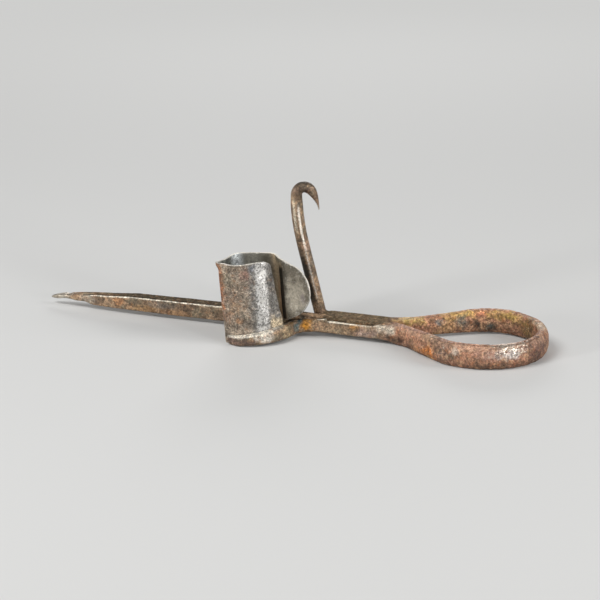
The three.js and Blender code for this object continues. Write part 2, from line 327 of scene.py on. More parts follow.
def spread_over(values, edges, times):
    """Values averaged with their neighbours', a number of times."""
    n = len(values)
    degree = np.bincount(edges.ravel(), minlength=n).astype(float)
    degree[degree == 0] = 1
    shape = (n,) + (1,) * (values.ndim - 1)
    for _ in range(times):
        total = np.zeros_like(values)
        np.add.at(total, edges[:, 0], values[edges[:, 1]])
        np.add.at(total, edges[:, 1], values[edges[:, 0]])
        values = 0.5 * values + 0.5 * total / degree.reshape(shape)
    return values


def fuse(name, bodies, voxel):
    """One skin round bodies that overlap: the mesh, its vertices in mm and its edges."""
    points, faces = [], []
    for body_points, body_faces in bodies:
        base = sum(len(p) for p in points)
        points.append(body_points)
        faces += [tuple(i + base for i in f) for f in body_faces]
    rough = mesh_object(name, np.vstack(points) * MM, faces)
    remesh = rough.modifiers.new("fuse", "REMESH")
    remesh.mode = "VOXEL"
    remesh.voxel_size = voxel * MM
    remesh.adaptivity = 0
    mesh = bpy.data.meshes.new_from_object(rough.evaluated_get(bpy.context.evaluated_depsgraph_get()))
    bpy.data.objects.remove(rough)
    return mesh, read(mesh.vertices, "co") / MM, read(mesh.edges, "vertices", 2, np.int64)


def taubin(points, edges, times):
    """Smooths without shrinking: each step in is followed by a slightly longer step out."""
    step_in, step_out = 1.2, 1.26
    for _ in range(times):
        points = points + step_in * (spread_over(points, edges, 1) - points)
        points = points - step_out * (spread_over(points, edges, 1) - points)
    return points


# Rings of the forging, swept from the spike's point to the hook's
def bar_ring(centre, across, up, width, height, squareness, flat, s, bevel=0.0, bulge=0.0, crown=0.0):
    """Ring of bar at a distance s along it, uneven as handwork is.

    bevel lowers the upper outer corner, bulge swells the lower outer side, and crown raises the top.
    """
    width *= 1 + UNEVEN_WIDTH * wave(s, 13, 1)
    height *= 1 + UNEVEN_HEIGHT * wave(s, 17, 2)
    twist = math.radians(UNEVEN_TWIST * wave(s, 24, 3))
    u, v = hammered(width, height, *squareness, flat)
    v = v - bevel * ease(u / width, 0.0, 0.5) * ease(v / height, 0.2, 0.45)
    u = u + bulge * ease(u / width, 0, 0.3) * (1 - ease(v / height, -0.35, 0.15))
    v = v + crown * ease(v / height, 0, 0.4)
    u, v = u * math.cos(twist) - v * math.sin(twist), u * math.sin(twist) + v * math.cos(twist)
    return [centre + a * across + b * up for a, b in zip(u, v)]


UP = np.array([0.0, 0.0, 1.0])
BACKWARD = np.array([0.0, 1.0, 0.0])


def shank_rings():
    """The spike, its end eaten from below and dipped on top, and the shank."""
    rings = []
    spike_end = TIP_X + SPIKE_TAPER
    spike = TIP_X + SPIKE_TAPER * np.linspace(0, 1, 90) ** 1.3
    for x in np.concatenate([spike, np.arange(spike_end + STEP, HANDLE_X, STEP)]):
        d = x - TIP_X
        share = min(1, d / SPIKE_TAPER)
        if d < SPIKE_TAPER:
            height = max(POINT_SIZE, SPIKE_HEIGHT * share ** 0.48)
        else:
            heights = [SPIKE_HEIGHT, ROOT_HEIGHT + 0.15, BAR_HEIGHT]
            height = np.interp(x, [spike_end, SOCKET_LEFT, HANDLE_X], heights)
        width = max(POINT_SIZE, BAR_WIDTH * share ** 0.42)
        foot = BAR_LIFT + TIP_LIFT * (1 - ease(share, 0, 0.8))
        eaten = TIP_EATEN * ease(d, 3, 8) * (1 - ease(d, 16.5, 20.5)) - 0.25 * bell(d, 12.5, 2.2)
        dip = TIP_DIP * bell(d, 8.6, 0.9)
        top = foot + height - dip
        foot += eaten
        middle = np.array([x, 0.12 * wave(d, 9, 5) * (1 - share), (top + foot) / 2])
        square = mix(3.2, 6, ease(share, 0.1, 0.7))
        bevel = SHANK_BEVEL * ease(x, 16, 27) * (1 - ease(x, 48, 53))
        rings.append(bar_ring(middle, -BACKWARD, UP, width, top - foot, (square, square), 1.06, d, bevel))
    return rings


def handle_rings(start):
    """The teardrop, whose front limb comes first, and the distance along the bar at its end."""
    turn = math.radians(SIDE_ANGLE)
    side = (BOW_RADIUS * math.cos(turn) - CROTCH_RADIUS * (1 - math.cos(turn)) - HOOK_Y / 2) / math.sin(turn)
    limb = [(NECK,), (CROTCH_RADIUS, -SIDE_ANGLE), (side,)]
    loop = bent(HANDLE_X, 0, 0, [*limb, (BOW_RADIUS, 180 + 2 * SIDE_ANGLE), *limb[::-1]], STEP)
    length = loop[-1, 3]
    foot_top, foot_under = BAR_MIDDLE + FOOT_SIZE / 2, BAR_MIDDLE - FOOT_SIZE / 2
    rings = []
    for x, y, h, s in loop:
        run = min(s, length - s)
        spread = ease(run, 0, SPREAD)
        across = np.array([math.sin(h), -math.cos(h), 0.0])
        if s < length / 2:
            width = mix(BAR_WIDTH, STRAP_THICKNESS, spread)
            top = np.interp(run, [0, 10, 46], [BAR_LIFT + BAR_HEIGHT, 7.7, STRAP_HEIGHT])
            foot = mix(BAR_LIFT, 0.0, ease(run, 0, 11))
            bowed = FRONT_BOW * ease(run, 3, 13) * (1 - ease(run, 36, 54))
            bulge = FRONT_BULGE * ease(x, 62, 72) * (1 - ease(x, 84, 92))
            crown = 0.0
        else:
            width = mix(FOOT_SIZE, STRAP_THICKNESS, spread)
            top = np.interp(run, [2, 14, 25, 34, 40], [foot_top, 8.6, 8.85, 9.4, STRAP_HEIGHT])
            foot = np.interp(run, [0, 12, 28, 40, 60, 74], [foot_under, 1.1, 0.95, 0.42, 0.2, 0.0])
            bowed = 0.0
            bulge = 0.0
            crown = BACK_CROWN * ease(x, 66, 80) * (1 - ease(x, 96, 106))
        middle = np.array([x, y, (top + foot) / 2]) + bowed * across
        squareness = (mix(6, 3.6, spread), mix(6, 2.1, spread))
        rings.append(bar_ring(middle, across, UP, width, top - foot, squareness, mix(1.06, 1.05, spread),
                              start + s, bulge=bulge, crown=crown))
    return rings, start + length


def hook_rings(start):
    """The foot behind the shank, the leaning stem, the bow and the point."""
    foot_end = FOOT_LENGTH + SEAT_GAP
    path = bent(HANDLE_X, BAR_MIDDLE, 180, [
        (foot_end,), (HOOK_BEND, HOOK_LEAN - 90), (HOOK_STEM,), (HOOK_CURVE, -HOOK_LEAN),
        (HOOK_BOW_RADIUS, -HOOK_BOW_TURN), (HOOK_TIP_RADIUS, -HOOK_TIP_TURN),
    ], STEP * 0.8)
    length = path[-1, 3]
    bend_end = foot_end + HOOK_BEND * math.radians(90 - HOOK_LEAN)
    tip_length = HOOK_TIP_RADIUS * math.radians(HOOK_TIP_TURN)
    bow_top = length - tip_length - HOOK_BOW_RADIUS * math.radians(HOOK_BOW_TURN) / 2
    rings = []
    for x, z, h, s in path[1:]:
        rounding = ease(s, foot_end - 2, bend_end)
        rod = mix(ROD_STEM, ROD_TOP, ease(s, bow_top - 10, bow_top))
        point = ease(s, bow_top + 2, length)
        width = mix(mix(FOOT_SIZE, rod, rounding), POINT_SIZE, point)
        height = mix(mix(FOOT_SIZE, rod, rounding), POINT_SIZE, point)
        square = mix(6, 2, rounding)
        welded = (1 - ease(s, foot_end - 3, foot_end)) * WELD_OVERLAP
        out = np.array([math.sin(h), 0.0, -math.cos(h)])
        middle = np.array([x, HOOK_Y - welded, z])
        rings.append(bar_ring(middle, BACKWARD, out, width + 2 * welded, height, (square, square),
                              mix(1.06, 1, rounding), start + s))
    return rings


def forging_rings():
    handle, handle_end = handle_rings(HANDLE_X - TIP_X)
    return shank_rings() + handle + hook_rings(handle_end)


def lean(points):
    """From the socket's leaning frame, with its plan's front at +Y, to the bar's frame."""
    x, y, z = points[..., 0], -points[..., 1], points[..., 2]
    c, s = math.cos(LEAN), math.sin(LEAN)
    return np.stack([x * c - z * s, y, x * s + z * c + LIFT], -1)


def strap_rings():
    """The strap that holds the socket, with its toe run out along the bar and a bead against the sheet."""
    radius = FRONT_CURVE + (SHEET / 2 + SEAT_GAP + RING_THICKNESS / 2)
    join = math.radians(RING_JOIN)
    turn = 90 - RING_JOIN
    join_x, join_y = ROUND_X + radius * math.cos(join), ROUND_Y + radius * math.sin(join)
    toe_y = BAR_WIDTH / 2 + SEAT_GAP + RING_THICKNESS / 2
    sweep = (join_y - toe_y) / (1 - math.cos(math.pi / 2 - join))
    moves = [(STRAP_TOE,), (sweep, -turn), (radius, turn), (SOCKET_WIDTH - FRONT_CURVE - FRONT_CORNER,)]
    path = bent(join_x + sweep * math.cos(join) + STRAP_TOE, toe_y, 180, moves, STEP)
    root_end = STRAP_TOE + sweep * math.radians(turn)
    front = root_end + radius * math.radians(turn)
    length = path[-1, 3]
    rings = []
    for x, y, h, s in path:
        to_end = length - s
        drawn = mix(RING_END_THICKNESS, RING_THICKNESS, ease(to_end, 0, 6))
        thickness = mix(POINT_SIZE, drawn, ease(s, 0, STRAP_TOE))
        top = np.interp(s, [0, STRAP_TOE, root_end + 8, front], [5.3, RING_TOP, RING_TOP, RING_END_TOP])
        foot = np.interp(s, [0, root_end, root_end + 8], [-0.1, -0.5, -0.2])
        foot = mix(0.9, foot, math.sqrt(min(1, to_end / 2)))
        shift = (thickness - RING_THICKNESS) / 2
        inset = mix(TOE_INSET, 0.0, ease(s, STRAP_TOE, root_end))  # sunk into the bar
        grown = SEAM_GROWTH * ease(s, root_end, root_end + 4)  # closes the seam with the sheet
        u, v = hammered(thickness + grown, top - foot, 6, 2.8, 1.06)
        ring = []
        for a, b in zip(u, v):
            away = a + shift - inset - grown / 2
            bead = BEAD * grown / SEAM_GROWTH * (a < -0.2 * thickness) * (b > 0)
            ring.append((x + away * math.sin(h), y - away * math.cos(h), (top + foot) / 2 + b + bead))
        rings.append(lean(np.array(ring)))
    return rings


# Colours, and broad stains as rows of x, y, z, reach, colour, strength
SCALE_DARK = srgb(52, 46, 40)
BROWN = srgb(116, 95, 74)
OLIVE = srgb(112, 103, 84)
OCHRE = srgb(158, 116, 62)
AMBER = srgb(176, 118, 52)
PINK = srgb(178, 130, 102)
SLATE = srgb(112, 116, 116)
TAN = srgb(154, 128, 101)
BARE = srgb(188, 180, 166)
BRIGHT = srgb(202, 200, 196)
GREY = srgb(111, 108, 103)

IRON_SPOTS = [
    # Spike and shank
    (-90, 0, 4, (7, 5, 5), BARE, 0.8),
    (-75.5, -2.5, 4.5, (4.5, 3, 3), BARE, 0.4),
    (-66, -3, 6, (5, 2, 2), TAN, 0.5),
    (-61.5, -3, 4.9, (3.2, 2, 2.4), (172, 122, 78), 0.7),
    (-50, -3, 3.2, (8, 2, 2), (150, 114, 70), 0.6),
    (-36, -3, 2.8, (9, 2, 1.8), (138, 102, 64), 0.6),
    (-41, -3, 5.6, (7, 2, 2), (116, 114, 108), 0.5),
    (-20, -3, 5.0, (6, 2, 2.4), OLIVE, 0.6),
    (-8, -3, 4.0, (5, 2, 3), TAN, 0.5),
    # Braze at the strap's root and the hook's foot, painted light on the shank's top under the leaf, a
    # painted highlight on the strap's front, and a darker reddish brown low on it
    (22.9, -4.6, 5.0, (4.4, 3.4, 3.8), (150, 110, 62), 0.7),
    (22.9, -5.0, 4.8, (2.7, 2.4, 2.8), (210, 146, 52), 0.95),
    (20.2, -5.0, 6.4, (1.4, 2.6, 1.8), (78, 96, 98), 1.0),
    (19.4, -7.2, 4.4, (1.3, 2.6, 2.2), (84, 102, 102), 1.0),
    (17.6, -8.5, 5.5, (1.5, 2.4, 1.6), OCHRE, 0.7),
    (17.0, -12, 3.4, (3.4, 5, 3.8), (160, 144, 112), 0.85),
    (23.5, -0.5, 7.8, (7, 4, 2), (196, 164, 132), 0.95),
    (12.2, -21.5, 4, (4.5, 4, 3), (206, 200, 188), 0.8),
    (1, -25, 1.4, (11, 3, 2.4), (108, 86, 76), 0.9),
    # Shank beside the handle
    (42.3, -3.2, 5.4, (3, 2, 2.4), OCHRE, 0.8),
    (34, -3.2, 3.5, (8, 2, 3), (158, 134, 106), 0.8),
    (36, -3.2, 3.0, (4, 2, 2), OLIVE, 0.4),
    (47.5, -3.2, 3.4, (6.5, 2, 2.6), (150, 128, 116), 0.8),
    (55.5, -3.0, 6.0, (4.8, 2.5, 2.6), (220, 208, 188), 0.95),
    (58.5, -3.4, 2.4, (4, 2, 1.5), (58, 44, 36), 0.8),
    # Back limb of the handle
    (63, 6, 8, (8, 5, 3), (190, 162, 96), 0.9),
    (75, 12.5, 4, (9, 5, 5), (162, 132, 88), 0.65),
    (80, 16, 8.6, (14, 6, 2.2), (190, 156, 84), 0.85),
    (87, 19, 8.4, (3.0, 4, 1.8), (204, 128, 92), 0.7),
    (97, 21.5, 8.0, (9, 5, 2.6), (186, 156, 84), 0.85),
    (90, 20, 4, (14, 6, 3), (142, 116, 88), 0.6),
    (72.9, 11.1, 6.1, (2.6, 3, 2.2), SLATE, 0.8),
    (80.5, 16, 6, (3.2, 3, 4), (104, 112, 104), 0.85),
    (85.8, 19.7, 4.3, (1.8, 3, 1.8), SCALE_DARK, 0.9),
    (91.0, 21.5, 3.4, (2.8, 3, 2), (84, 92, 88), 0.9),
    (106, 18, 5, (6, 5, 5), (132, 108, 60), 0.8),
    # Front limb and bow of the handle
    (77.3, -13.8, 2.2, (6.5, 4, 2.8), (216, 130, 52), 0.95),
    (77, -14, 0.9, (3, 3, 0.9), (220, 180, 122), 0.8),
    (76, -11.6, 7.6, (5.5, 4, 2.4), (178, 144, 102), 0.55),
    (82.4, -17.3, 4.8, (1.8, 3, 1.3), (74, 70, 54), 0.8),
    (87, -19.4, 4.2, (3.2, 3, 1.6), (96, 92, 74), 0.7),
    (61.7, -4.2, 2.8, (2.4, 3, 1.6), (76, 46, 30), 0.85),
    (108.6, 17.4, 9.2, (1.6, 1.6, 0.8), (58, 44, 28), 0.8),
    (110.6, 14.2, 8.9, (1.3, 2.2, 1.2), (58, 44, 28), 0.85),
    (111.6, 12.2, 7.4, (1.1, 2, 1.6), (58, 44, 28), 0.85),
    (72, -9.5, 2.2, (6, 4, 2), AMBER, 0.4),
    (84.4, -17.4, 4.6, (5, 4, 3), (112, 100, 92), 0.6),
    (88.9, -19.2, 6.2, (3, 3, 2), BARE, 0.6),
    # Painted highlight where the bow is also rubbed bare
    (109.5, -14.5, 6.4, (8.5, 4.5, 3.2), (244, 232, 224), 0.9),
    (102, -18.5, 6, (6, 4, 2.6), (186, 150, 134), 0.6),
    (117, -3, 5, (6, 9, 6), (108, 80, 70), 0.9),
    (112, 11.6, 9.1, (7, 7, 1.1), (216, 196, 168), 0.9),
    # Hook
    (18.5, 6.3, 58, (7, 4, 5), (77, 64, 54), 0.95),
    (15.5, 6.3, 56.5, (2.5, 4, 2.5), (140, 118, 100), 0.7),
    (24.5, 6.3, 51, (3, 4, 5), (108, 86, 68), 0.9),
    (15.3, 6.3, 48, (2.5, 4, 8), (150, 134, 114), 0.5),
    (17.5, 6.3, 37, (2.4, 4, 2.2), (74, 62, 52), 0.7),
    (19, 6.3, 34, (3, 4, 2.4), (168, 134, 112), 0.8),
    (20.5, 6.3, 22, (2.4, 4, 12), (104, 98, 88), 0.7),
    (24, 6.3, 11, (3, 4, 4), (130, 116, 94), 0.6),
    (22.1, 5, 58.0, (1.1, 4, 0.8), (166, 140, 118), 0.6),
    # Painted shade in the notch inside the bow
    (21.2, 4.6, 56.4, (2.3, 4, 1.3), (34, 22, 14), 0.98),
]

# On the unrolled sheet: distance along the plan, 3 outside or -3 inside, height
SHEET_SPOTS = [
    (24.9, 3, 22, (2.5, 3, 12), (172, 104, 58), 0.95),
    (13.8, 3, 27.5, (2.5, 3, 4.6), (150, 112, 98), 0.65),
    (11.2, 3, 30, (2, 3, 3), (116, 120, 128), 0.6),
    (20.5, 3, 19, (4.5, 3, 5), (106, 86, 70), 0.6),
    (18.8, 3, 14.5, (4, 3, 3.4), (160, 132, 104), 0.6),
    (18.3, 3, 9.4, (2, 3, 1.8), (172, 118, 70), 0.6),
    (23, 3, 11, (3, 3, 3), (128, 92, 68), 0.5),
    (21.5, 3, 26, (3, 3, 4), (122, 112, 92), 0.6),
    (14.4, 3, 7.6, (3.6, 3, 1.8), SCALE_DARK, 0.6),
    (2.6, 3, 6.0, (4.4, 3, 3.8), (204, 186, 156), 0.95),
    # Painted shade on the leaf beside its crease, and painted light in the thumb's dish
    (64.8, -3, 20, (1.8, 3, 9), (66, 60, 48), 0.7),
    (69.0, -3, 15.8, (6.2, 3, 8.2), (160, 152, 136), 0.9),
    (71.9, -3, 15.0, (1.7, 3, 2.2), (114, 104, 104), 0.6),
]


def stained(points, colour, spots):
    """Colours with soft, ragged spots over them."""
    ragged = noises(points, 2.6, 31, 4)
    for x, y, z, reach, tint, strength in spots:
        away = np.sqrt((((points - np.array([x, y, z])) / np.array(reach)) ** 2).sum(1))
        colour = tinted(colour, tint, strength * (1 - ease(away + 0.5 * ragged, 0.3, 1.15)))
    return colour


def relief(points, normals, edges, times):
    """How far each place stands out of its surroundings, in mm."""
    return ((points - spread_over(points, edges, times)) * normals).sum(1)


def dress(mesh, points, normals, colour, wear, rust, matt, edges, crevice, shine):
    """Stores what the material reads: the colour, where it is rubbed bare, rusty or matt, and the normals."""
    wide, fine = relief(points, normals, edges, 10), relief(points, normals, edges, 3)
    hollow = np.clip(-wide / 0.10, 0, 1) * crevice
    colour = tinted(colour, SCALE_DARK, 0.75 * hollow)
    raised = np.clip(wide / 0.16, 0, 1) * 0.8 + np.clip(fine / 0.05, 0, 1) * 0.3
    dark = 1 - ease(colour @ np.array([0.21, 0.72, 0.07]), 0.03, 0.085)
    wear = np.clip(wear * (0.75 + 0.5 * raised) + raised * 0.2 - hollow - 0.6 * dark, 0, 1)
    edge = shine * ease(wide, 0.10, 0.2)
    colour = tinted(colour, BARE, 0.75 * edge)
    rgba = np.column_stack([np.clip(colour, 0, 1), np.ones(len(points))])
    for name, kind, field, values in (
        ("paint", "FLOAT_COLOR", "color", rgba),
        ("wear", "FLOAT", "value", np.maximum(wear, edge)),
        ("rust", "FLOAT", "value", np.clip(rust, 0, 1)),
        ("matt", "FLOAT", "value", np.clip(matt, 0, 1)),
        ("skin_normal", "FLOAT_VECTOR", "vector", normals),
    ):
        mesh.attributes.new(name, kind, "POINT").data.foreach_set(field, values.ravel())


# Cutting apart
def close_holes(bm):
    rim = [e for e in bm.edges if e.is_boundary]
    if not rim:
        return
    made = bmesh.ops.holes_fill(bm, edges=rim, sides=0)["faces"]
    for f in made:
        f.smooth = False
    bmesh.ops.triangulate(bm, faces=made)


def keep_side(bm, point, normal, outer):
    """Cuts a body at a plane and keeps the side that the normal points to, or the other one."""
    geometry = bm.verts[:] + bm.edges[:] + bm.faces[:]
    bmesh.ops.bisect_plane(bm, geom=geometry, plane_co=Vector(point) * MM, plane_no=Vector(normal),
                           clear_outer=not outer, clear_inner=outer)


def make_piece(name, bm, material, body, node):
    """Puts a cut body into the row's frame as a piece that stands for a node of the frame."""
    close_holes(bm)
    mesh = bpy.data.meshes.new(name)
    bm.to_mesh(mesh)
    bm.free()
    kept = read(mesh.attributes["skin_normal"].data, "vector")
    loops = []
    for polygon in mesh.polygons:
        own = None if polygon.use_smooth else polygon.normal.copy()
        for i in polygon.vertices:
            loops.append(own or Vector(kept[i]).normalized())
    mesh.normals_split_custom_set(loops)
    mesh.attributes.remove(mesh.attributes["skin_normal"])
    mesh.transform(Matrix.Translation(Vector(SHIFT * MM)))
    mesh.materials.append(material)
    obj = placed(name, mesh)
    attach(obj, body)
    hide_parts(node)


# Material
def add_node(tree, kind, values, **settings):
    """A node with its settings, its inputs given numbers, colours or the outputs of other nodes."""
    node = tree.nodes.new(kind)
    for name, value in settings.items():
        setattr(node, name, value)
    for socket, value in values.items():
        if isinstance(value, (int, float, tuple)):
            node.inputs[socket].default_value = value
        else:
            tree.links.new(value, node.inputs[socket])
    return node


def iron(name, rust_colour, metal_tint, grain, rough, gloss, metal, pits, mottle):
    """Iron whose broad colours come from the mesh, and its grain, pits and rubbed places from noise.

    grain scales the noise's size. rough and metal are the oxide's, gloss is what rubbing leaves of the
    roughness, pits darkens the pits, and mottle sets the contrast.
    """
    material = bpy.data.materials.new(name)
    material.use_nodes = True
    tree = material.node_tree
    tree.nodes.clear()
    place = add_node(tree, "ShaderNodeTexCoord", {}).outputs["Object"]

    def attribute(kind, output):
        return add_node(tree, "ShaderNodeAttribute", {}, attribute_name=kind).outputs[output]

    def noise_of(size, detail, roughness, distortion=0.0):
        values = {"Scale": 1000 / size, "Detail": detail, "Roughness": roughness, "Distortion": distortion}
        return add_node(tree, "ShaderNodeTexNoise", {"Vector": place, **values}).outputs["Fac"]

    def ranged(value, low, high, to_low, to_high):
        values = {"Value": value, "From Min": low, "From Max": high, "To Min": to_low, "To Max": to_high}
        return add_node(tree, "ShaderNodeMapRange", values, interpolation_type="SMOOTHSTEP").outputs["Result"]

    def maths(kind, a, b):
        return add_node(tree, "ShaderNodeMath", {0: a, 1: b}, operation=kind).outputs[0]

    def blended(kind, factor, a, b):
        values = {0: factor, 6: a, 7: b}
        return add_node(tree, "ShaderNodeMix", values, data_type="RGBA", blend_type=kind).outputs[2]

    patches = noise_of(3.4, 4, 0.6, 0.4)
    grains = noise_of(0.9 * grain, 5, 0.66)
    fine = noise_of(0.36, 3, 0.55)

    # Oxide: the stored colour, mottled, with rust in patches
    shade = maths("MULTIPLY", ranged(patches, 0.32, 0.68, 1 - 0.26 * mottle, 1 + 0.26 * mottle),
                  ranged(grains, 0.34, 0.66, 1 - 0.38 * mottle, 1 + 0.42 * mottle))
    flecks = ranged(noise_of(0.7 * grain, 3, 0.6, 0.5), 0.58, 0.68, 1, 1 + 0.6 * mottle)
    shade = maths("MULTIPLY", shade, flecks)
    shade = maths("MULTIPLY", shade, ranged(fine, 0.25, 0.75, 0.8, 1.2))
    painted = attribute("paint", "Color")
    oxide = blended("MULTIPLY", 1.0, painted, shade)
    rust = ranged(noise_of(1.9, 4, 0.7), 0.53, 0.68, 0, 1)
    rust = maths("MULTIPLY", rust, attribute("rust", "Fac"))
    oxide = blended("MIX", rust, oxide, (*srgb(*rust_colour), 1.0))

    # Metal: rubbed bare between the pits, more of it where the mesh says it is worn
    worn = attribute("wear", "Fac")
    bare = ranged(maths("ADD", grains, maths("MULTIPLY", worn, 0.5)), 0.72, 0.90, 0, 1)
    metal_colour = blended("MIX", 0.62, painted, (*metal_tint, 1.0))
    metal_colour = blended("MULTIPLY", 1.0, metal_colour, ranged(fine, 0.25, 0.75, 0.85, 1.15))
    colour = blended("MIX", bare, oxide, metal_colour)
    pocks = noise_of(0.62 * grain, 4, 0.62, 0.6)
    pit = maths("MULTIPLY", ranged(pocks, 0.36, 0.47, 1, 0), 0.85 * pits)
    colour = blended("MIX", pit, colour, (*srgb(40, 34, 29), 1.0))

    # Gloss: rubbed places shine, matt ones neither shine nor look metallic
    matt = attribute("matt", "Fac")
    roughness = maths("ADD", ranged(bare, 0, 1, rough, rough * gloss), ranged(fine, 0.3, 0.7, -0.05, 0.08))
    roughness = maths("ADD", roughness, maths("MULTIPLY", matt, 0.4))
    metallic = maths("MULTIPLY", ranged(bare, 0, 1, metal, 1.0), ranged(matt, 0, 1, 1, 0.15))

    # Relief: the grain stands out, flatter where it is rubbed, and the pits go in
    height = maths("MULTIPLY", ranged(grains, 0.28, 0.6, 0, 1), 0.8)
    height = maths("ADD", height, maths("MULTIPLY", fine, 0.22))
    height = maths("MULTIPLY", height, ranged(bare, 0, 1, 1.0, 0.5))
    height = maths("SUBTRACT", height, maths("MULTIPLY", pit, 0.5))
    bumps = {"Strength": 0.75, "Distance": 0.00022 * grain, "Height": height}
    normal = add_node(tree, "ShaderNodeBump", bumps).outputs["Normal"]
    shader = add_node(tree, "ShaderNodeBsdfPrincipled", {
        "Base Color": colour, "Roughness": roughness, "Metallic": metallic, "Normal": normal,
        "Specular IOR Level": ranged(matt, 0, 1, 0.5, 0.1),
    })
    add_node(tree, "ShaderNodeOutputMaterial", {"Surface": shader.outputs["BSDF"]})
    return material


# The forging: fused, then smoothed where pieces run together and over the handle's swept steps
solid, points, edges = fuse("forging", [skin(forging_rings()), skin(strap_rings())], IRON_VOXEL)
points = taubin(points, edges, 3)
x, y, z = points.T
smoothed = np.maximum.reduce([
    0.6 * (1 - ease(np.hypot(x - HOOK_ROOT_X, z - HOOK_ROOT_Z), 2.0, 4.5)),
    0.7 * (1 - ease(np.abs(y - FOOT_SEAM_Y), 0.5, 1.4)) * ease(x, 20, 24) * (1 - ease(x, 50, 56)),
    (1 - ease(np.abs(y - STRAP_SEAM_Y), 0.8, 1.8)) * ease(x, 15, 18) * (1 - ease(x, 34, 37)),
    0.5 * ease(x, 58, 66),
])
points = tinted(points, spread_over(points, edges, 10), smoothed)
normals = fresh_normals(solid, points)

# Which part of the forging each place belongs to, and its pits
x, y, z = points.T
on_handle = ease(x, 50, 62)
along_bar = (1 - on_handle) * (z < 8) * (np.abs(y) < 10)
streaks = noises(points * np.array([0.16, 1.0, 1.0]), 0.9, 61, 3) * along_bar
on_strap = ease(-y, 3.4, 5) * (x < 40)
on_hook = ease(y, 3.2, 3.8) * (x < 51.8)
hook_up = ease(z, 8, 14)
tip_guard = ease(x, TIP_X, TIP_X + 4) * (1 - ease(z, 51, 57) * (x > 20))
pitted = 0.03 + 0.08 * on_handle + 0.02 * on_strap - 0.012 * hook_up
depth = 0.06 * noises(points, 9, 1, 2) + pitted * (noises(points, 1.5, 2, 4) + 0.6 * noises(points, 4, 3, 3))
depth += 0.035 * streaks
depth -= (0.05 + 0.2 * on_handle) * np.clip(noises(points, 1.1, 4, 2) - 0.25, 0, 1) + 0.03 * on_handle
points = np.clip(points + normals * (depth * tip_guard)[:, None], BOX_LOW, BOX_HIGH)
normals = fresh_normals(solid, points)

# Broad colours
x, y, z = points.T
upward = normals[:, 2]
broad = noises(points, 7, 11, 3)
colour = tinted(BROWN, TAN, ease(broad, -0.3, 0.4))
colour = tinted(colour, OLIVE, 0.7 * ease(noises(points, 6, 13, 3), 0.0, 0.4) * (1 - on_handle))
colour = tinted(colour, tinted(PINK, BROWN, ease(broad, 0.1, 0.5) * 0.5), on_handle)
# Painted shade: the bar's top faces are painted darker, less so past the hook's root
top = ease(upward, 0.5, 0.9) * (z > 4) * (1 - on_handle)
shaded_top = tinted((74, 69, 56), (104, 91, 70), ease(x, 20, 27))
colour = tinted(colour, shaded_top, 0.85 * top * ease(x, -78, -60))
# Painted shade on faces that look down
colour = tinted(colour, (70, 58, 48), 0.6 * ease(-upward, 0.3, 0.8))
colour = stained(points, colour, IRON_SPOTS)
colour = colour * (1 + 0.22 * streaks)[:, None]
cream = ease(noises(points, 1.7, 71, 3), 0.12, 0.45) * (0.15 + 0.25 * on_handle)
colour = tinted(colour, (226, 182, 138), cream)
scabs = ease(noises(points, 2.3, 72, 4), 0.15, 0.5) * (0.3 + 0.1 * on_handle)
colour = tinted(colour, tinted((92, 72, 62), (122, 78, 58), on_handle), scabs)
# Painted light where the handle's front turns upward
lit_crest = ease(upward, 0.05, 0.5) * (1 - ease(upward, 0.75, 0.95)) * on_handle * (y < 2)
colour = tinted(colour, (216, 182, 158), 0.35 * lit_crest)

# A painted highlight along the bar's upper front edge, which is rubbed there too, and the dark line behind it
rub = 0.25 + 0.22 * noises(points, 5, 12, 3) + 0.5 * (1 - ease(x, -86, -80))
arris = normals @ np.array([0.0, -0.72, 0.69])
edge_highlight = ease(arris, 0.86, 0.97) * ease(z, 4, 5) * (np.abs(y + 3) < 0.8) * (1 - on_handle)
edge_highlight *= 1 - 0.9 * ease(x, 8, 10) * (1 - ease(x, 25, 28)) - 0.6 * ease(x, 40, 46)
colour = tinted(colour, (244, 234, 214), 0.95 * edge_highlight)
below = ease(upward, 0.75, 0.95) * (1 - ease(np.abs(y + 1.9), 0.3, 0.9)) * (z > 4) * (1 - on_handle)
colour = tinted(colour, colour * 0.55, below * (1 - edge_highlight) * (x < 50))

# The hook: painted highlights up its stem, rubbed bare there too, and painted shade on its lower side, by
# degrees round it from the front
round_hook = np.degrees(np.arctan2(normals[:, 0], -normals[:, 1]))
left_highlight = (1 - ease(np.abs(round_hook + 9), 6, 17)) * ease(z, 38, 43) * (1 - ease(z, 50, 54))
right_highlight = (1 - ease(np.abs(round_hook - 36), 5, 15)) * ease(z, 30, 37) * (1 - ease(z, 47, 52))
low_highlight = (1 - ease(np.abs(round_hook - 30), 3, 9)) * ease(z, 11, 16) * (1 - ease(z, 30, 35))
shaded = (1 - ease(round_hook, 4, 26)) * (1 - ease(z, 27, 36)) * ease(z, 8, 12)
shaded *= ease(round_hook, -165, -80)
stem = on_hook * hook_up
colour = tinted(colour, (42, 39, 32), 0.92 * stem * shaded)
colour = tinted(colour, (224, 208, 182), 0.85 * stem * left_highlight)
colour = tinted(colour, (240, 232, 220), 0.85 * stem * right_highlight)
colour = tinted(colour, (190, 184, 174), 0.7 * stem * low_highlight)
rub += stem * (0.5 * np.maximum(left_highlight, right_highlight) + 0.35 * low_highlight - 0.3 * ease(z, 50, 55))

